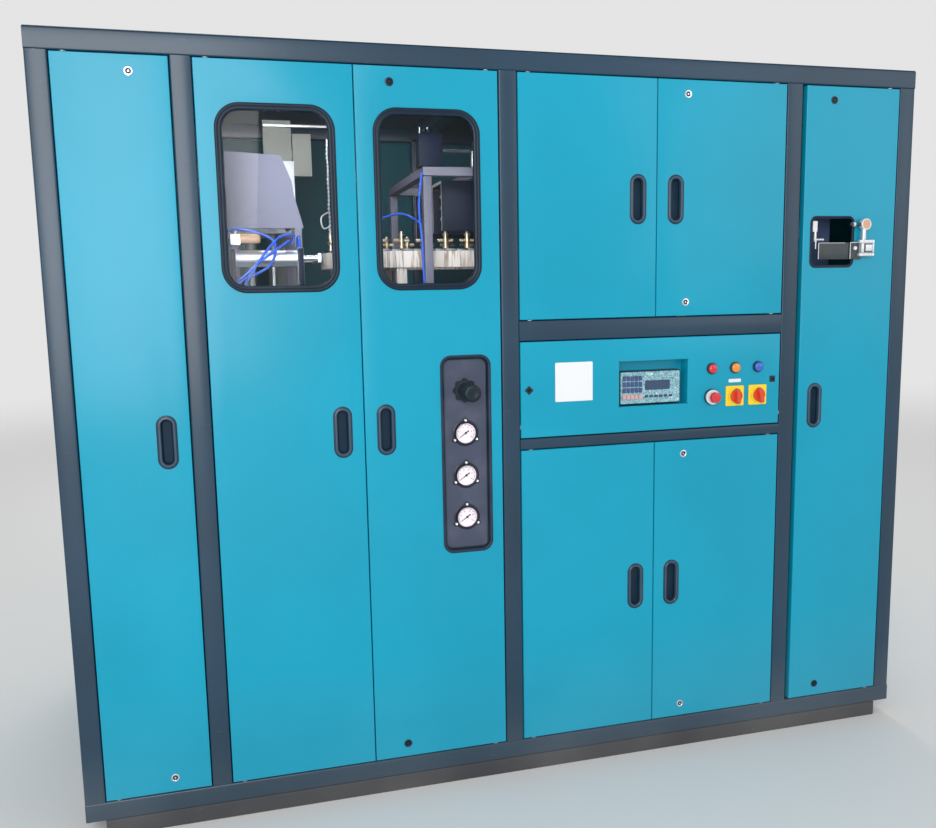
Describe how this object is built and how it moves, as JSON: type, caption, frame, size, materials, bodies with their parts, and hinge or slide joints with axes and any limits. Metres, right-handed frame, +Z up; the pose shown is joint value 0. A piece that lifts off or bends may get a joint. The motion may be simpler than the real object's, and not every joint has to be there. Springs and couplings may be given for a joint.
{
  "type": "bottle blow moulding machine",
  "caption": "Free-standing bottle blow moulding machine: steel cabinet with flush hinged doors, windows, operator panel, blowing station and preform oven on a chain loop.",
  "frame": {"origin": "middle of the footprint on the floor, on the underside of the middle plinth bar", "axes": "+X along the front to the right as seen from the operator side, +Y from front to back, +Z up"},
  "size_m": [2.42, 1.278, 2.0016],
  "materials": {
    "frame_paint": "satin",
    "door_paint": "gloss",
    "plinth_black": "matte",
    "table_steel": "satin",
    "clamp_paint": "satin",
    "cylinder_metal": "satin",
    "track_metal": "satin",
    "chain_brass": "satin",
    "wheel_steel": "satin",
    "motor_paint": "satin",
    "hood_black": "satin",
    "gear_plastic": "matte",
    "receiver_paint": "gloss",
    "pipe_blue": "gloss",
    "lock_metal": "polished",
    "lock_black": "satin",
    "mould_metal": "satin",
    "rod_chrome": "polished",
    "needle_black": "matte",
    "knob_black": "matte",
    "stop_red": "gloss",
    "handle_red": "gloss",
    "gasket_rubber": "matte",
    "pane_clear": "clear",
    "tray_plastic": "satin",
    "case_black": "gloss",
    "terminal_grey": "satin",
    "lamp_lens": "gloss",
    "switch_plastic": "gloss",
    "plate_white": "gloss",
    "valve_metal": "satin"
  },
  "bodies": {
    "cabinet": {"plinth": "plinth_black", "main_frame": "frame_paint", "roof_panel": "frame_paint", "lift_off_panels": "door_paint", "base_tray": "frame_paint", "machine_table": "table_steel", "clamp_frame": "clamp_paint", "air_cylinders": "cylinder_metal", "carrier_track": "track_metal", "carrier_chain": "chain_brass", "chain_wheels": "wheel_steel", "drive_motor": "motor_paint", "oven_hoods": "hood_black", "electrical_gear": "gear_plastic", "air_supply": "receiver_paint", "air_pipes": "pipe_blue"},
    "left_door": {"left_door": "door_paint"},
    "mould_door": {"mould_door": "door_paint", "mould_gasket": "gasket_rubber", "mould_pane": "pane_clear"},
    "gauge_door": {"gauge_door": "door_paint", "gauge_gasket": "gasket_rubber", "gauge_pane": "pane_clear", "gauge_tray": "tray_plastic", "gauge_cases": "case_black"},
    "upper_left_door": {"upper_left_door": "door_paint"},
    "upper_right_door": {"upper_right_door": "door_paint"},
    "lower_left_door": {"lower_left_door": "door_paint"},
    "lower_right_door": {"lower_right_door": "door_paint"},
    "right_door": {"right_door": "door_paint", "air_valve": "valve_metal"},
    "control_panel": {"control_panel": "door_paint", "terminal": "terminal_grey", "pilot_lamps": "lamp_lens", "switch_bodies": "switch_plastic", "name_plate": "plate_white"},
    "left_door_top_lock": {"left_door_top_lock": "lock_metal"},
    "left_door_low_lock": {"left_door_low_lock": "lock_metal"},
    "gauge_door_top_lock": {"gauge_door_top_lock": "lock_black"},
    "gauge_door_low_lock": {"gauge_door_low_lock": "lock_black"},
    "upper_door_top_lock": {"upper_door_top_lock": "lock_metal"},
    "upper_door_low_lock": {"upper_door_low_lock": "lock_metal"},
    "lower_door_top_lock": {"lower_door_top_lock": "lock_metal"},
    "lower_door_low_lock": {"lower_door_low_lock": "lock_metal"},
    "right_door_top_lock": {"right_door_top_lock": "lock_black"},
    "right_door_low_lock": {"right_door_low_lock": "lock_black"},
    "panel_left_lock": {"panel_left_lock": "lock_black"},
    "panel_right_lock": {"panel_right_lock": "lock_black"},
    "front_clamp": {"front_clamp": "mould_metal"},
    "rear_clamp": {"rear_clamp": "mould_metal"},
    "blow_nozzles": {"blow_nozzles": "rod_chrome"},
    "stretch_rods": {"stretch_rods": "rod_chrome"},
    "transfer_rod": {"transfer_rod": "rod_chrome"},
    "gauge_needle_1": {"gauge_needle_1": "needle_black"},
    "gauge_needle_2": {"gauge_needle_2": "needle_black"},
    "gauge_needle_3": {"gauge_needle_3": "needle_black"},
    "regulator_knob": {"regulator_knob": "knob_black"},
    "stop_button": {"stop_button": "stop_red"},
    "main_switch_handle": {"main_switch_handle": "handle_red"},
    "heater_switch_handle": {"heater_switch_handle": "handle_red"}
  },
  "joints": [
    {"name": "left_door_hinge", "type": "hinge", "parent": "cabinet", "child": "left_door", "pos_m": [-1.1275, -0.59, 0.0975], "axis": [0, 0, -1], "range_deg": [0, 110]},
    {"name": "mould_door_hinge", "type": "hinge", "parent": "cabinet", "child": "mould_door", "pos_m": [-0.811, -0.59, 0.0975], "axis": [0, 0, -1], "range_deg": [0, 90]},
    {"name": "gauge_door_hinge", "type": "hinge", "parent": "cabinet", "child": "gauge_door", "pos_m": [-0.111, -0.59, 0.0975], "axis": [0, 0, 1], "range_deg": [0, 90]},
    {"name": "upper_left_door_hinge", "type": "hinge", "parent": "cabinet", "child": "upper_left_door", "pos_m": [0.004, -0.59, 1.3015], "axis": [0, 0, -1], "range_deg": [0, 90]},
    {"name": "upper_right_door_hinge", "type": "hinge", "parent": "cabinet", "child": "upper_right_door", "pos_m": [0.7495, -0.59, 1.3015], "axis": [0, 0, 1], "range_deg": [0, 90]},
    {"name": "lower_left_door_hinge", "type": "hinge", "parent": "cabinet", "child": "lower_left_door", "pos_m": [0.004, -0.59, 0.0975], "axis": [0, 0, -1], "range_deg": [0, 90]},
    {"name": "lower_right_door_hinge", "type": "hinge", "parent": "cabinet", "child": "lower_right_door", "pos_m": [0.7495, -0.59, 0.0975], "axis": [0, 0, 1], "range_deg": [0, 90]},
    {"name": "right_door_hinge", "type": "hinge", "parent": "cabinet", "child": "right_door", "pos_m": [1.1275, -0.59, 0.0975], "axis": [0, 0, 1], "range_deg": [0, 110]},
    {"name": "control_panel_hinge", "type": "hinge", "parent": "cabinet", "child": "control_panel", "pos_m": [-0.026, -0.59, 1.0065], "axis": [1, 0, 0], "range_deg": [0, 90]},
    {"name": "left_door_top_lock_turn", "type": "hinge", "parent": "left_door", "child": "left_door_top_lock", "pos_m": [-0.986, -0.6, 1.909], "axis": [0, 1, 0], "range_deg": [0, 90]},
    {"name": "left_door_low_lock_turn", "type": "hinge", "parent": "left_door", "child": "left_door_low_lock", "pos_m": [-0.986, -0.6, 0.136], "axis": [0, -1, 0], "range_deg": [0, 90]},
    {"name": "gauge_door_top_lock_turn", "type": "hinge", "parent": "gauge_door", "child": "gauge_door_top_lock", "pos_m": [-0.3665, -0.6, 1.909], "axis": [0, -1, 0], "range_deg": [0, 90]},
    {"name": "gauge_door_low_lock_turn", "type": "hinge", "parent": "gauge_door", "child": "gauge_door_low_lock", "pos_m": [-0.3665, -0.6, 0.136], "axis": [0, 1, 0], "range_deg": [0, 90]},
    {"name": "upper_door_top_lock_turn", "type": "hinge", "parent": "upper_right_door", "child": "upper_door_top_lock", "pos_m": [0.468, -0.6, 1.909], "axis": [0, -1, 0], "range_deg": [0, 90]},
    {"name": "upper_door_low_lock_turn", "type": "hinge", "parent": "upper_right_door", "child": "upper_door_low_lock", "pos_m": [0.468, -0.6, 1.34], "axis": [0, 1, 0], "range_deg": [0, 90]},
    {"name": "lower_door_top_lock_turn", "type": "hinge", "parent": "lower_right_door", "child": "lower_door_top_lock", "pos_m": [0.468, -0.6, 0.903], "axis": [0, -1, 0], "range_deg": [0, 90]},
    {"name": "lower_door_low_lock_turn", "type": "hinge", "parent": "lower_right_door", "child": "lower_door_low_lock", "pos_m": [0.468, -0.6, 0.136], "axis": [0, 1, 0], "range_deg": [0, 90]},
    {"name": "right_door_top_lock_turn", "type": "hinge", "parent": "right_door", "child": "right_door_top_lock", "pos_m": [0.9355, -0.6, 1.909], "axis": [0, -1, 0], "range_deg": [0, 90]},
    {"name": "right_door_low_lock_turn", "type": "hinge", "parent": "right_door", "child": "right_door_low_lock", "pos_m": [0.9355, -0.6, 0.136], "axis": [0, 1, 0], "range_deg": [0, 90]},
    {"name": "panel_left_lock_turn", "type": "hinge", "parent": "control_panel", "child": "panel_left_lock", "pos_m": [-0.002, -0.6, 1.109], "axis": [0, 1, 0], "range_deg": [0, 90]},
    {"name": "panel_right_lock_turn", "type": "hinge", "parent": "control_panel", "child": "panel_right_lock", "pos_m": [0.7555, -0.6, 1.109], "axis": [0, -1, 0], "range_deg": [0, 90]},
    {"name": "front_clamp_slide", "type": "slide", "parent": "cabinet", "child": "front_clamp", "axis": [0, 1, 0], "range_m": [0, 0.0428]},
    {"name": "rear_clamp_slide", "type": "slide", "parent": "cabinet", "child": "rear_clamp", "axis": [0, -1, 0], "range_m": [0, 0.0428]},
    {"name": "blow_nozzle_lift", "type": "slide", "parent": "cabinet", "child": "blow_nozzles", "axis": [0, 0, 1], "range_m": [0, 0.038]},
    {"name": "stretch_rod_lift", "type": "slide", "parent": "cabinet", "child": "stretch_rods", "axis": [0, 0, 1], "range_m": [0, 0.15]},
    {"name": "transfer_slide", "type": "slide", "parent": "cabinet", "child": "transfer_rod", "axis": [1, 0, 0], "range_m": [-0.025, 0.04]},
    {"name": "gauge_needle_1_turn", "type": "hinge", "parent": "gauge_door", "child": "gauge_needle_1", "pos_m": [-0.1815, -0.59, 0.9994], "axis": [0, 1, 0], "range_deg": [0, 270], "stiffness_Nm_per_rad": 0.002},
    {"name": "gauge_needle_2_turn", "type": "hinge", "parent": "gauge_door", "child": "gauge_needle_2", "pos_m": [-0.1815, -0.59, 0.8826], "axis": [0, 1, 0], "range_deg": [0, 270], "stiffness_Nm_per_rad": 0.002},
    {"name": "gauge_needle_3_turn", "type": "hinge", "parent": "gauge_door", "child": "gauge_needle_3", "pos_m": [-0.1815, -0.59, 0.7658], "axis": [0, 1, 0], "range_deg": [0, 270], "stiffness_Nm_per_rad": 0.002},
    {"name": "regulator_knob_turn", "type": "hinge", "parent": "gauge_door", "child": "regulator_knob", "pos_m": [-0.1815, -0.6, 1.1162], "axis": [0, 1, 0], "range_deg": [0, 1080]},
    {"name": "stop_button_press", "type": "slide", "parent": "control_panel", "child": "stop_button", "axis": [0, 1, 0], "range_m": [0, 0.006]},
    {"name": "main_switch_handle_turn", "type": "hinge", "parent": "control_panel", "child": "main_switch_handle", "pos_m": [0.631, -0.6, 1.0645], "axis": [0, 1, 0], "range_deg": [0, 90]},
    {"name": "heater_switch_handle_turn", "type": "hinge", "parent": "control_panel", "child": "heater_switch_handle", "pos_m": [0.706, -0.6, 1.0645], "axis": [0, 1, 0], "range_deg": [0, 90]}
  ],
  "couplings": [
    {"joint": "rear_clamp_slide", "follows": "front_clamp_slide", "ratio": 1}
  ]
}
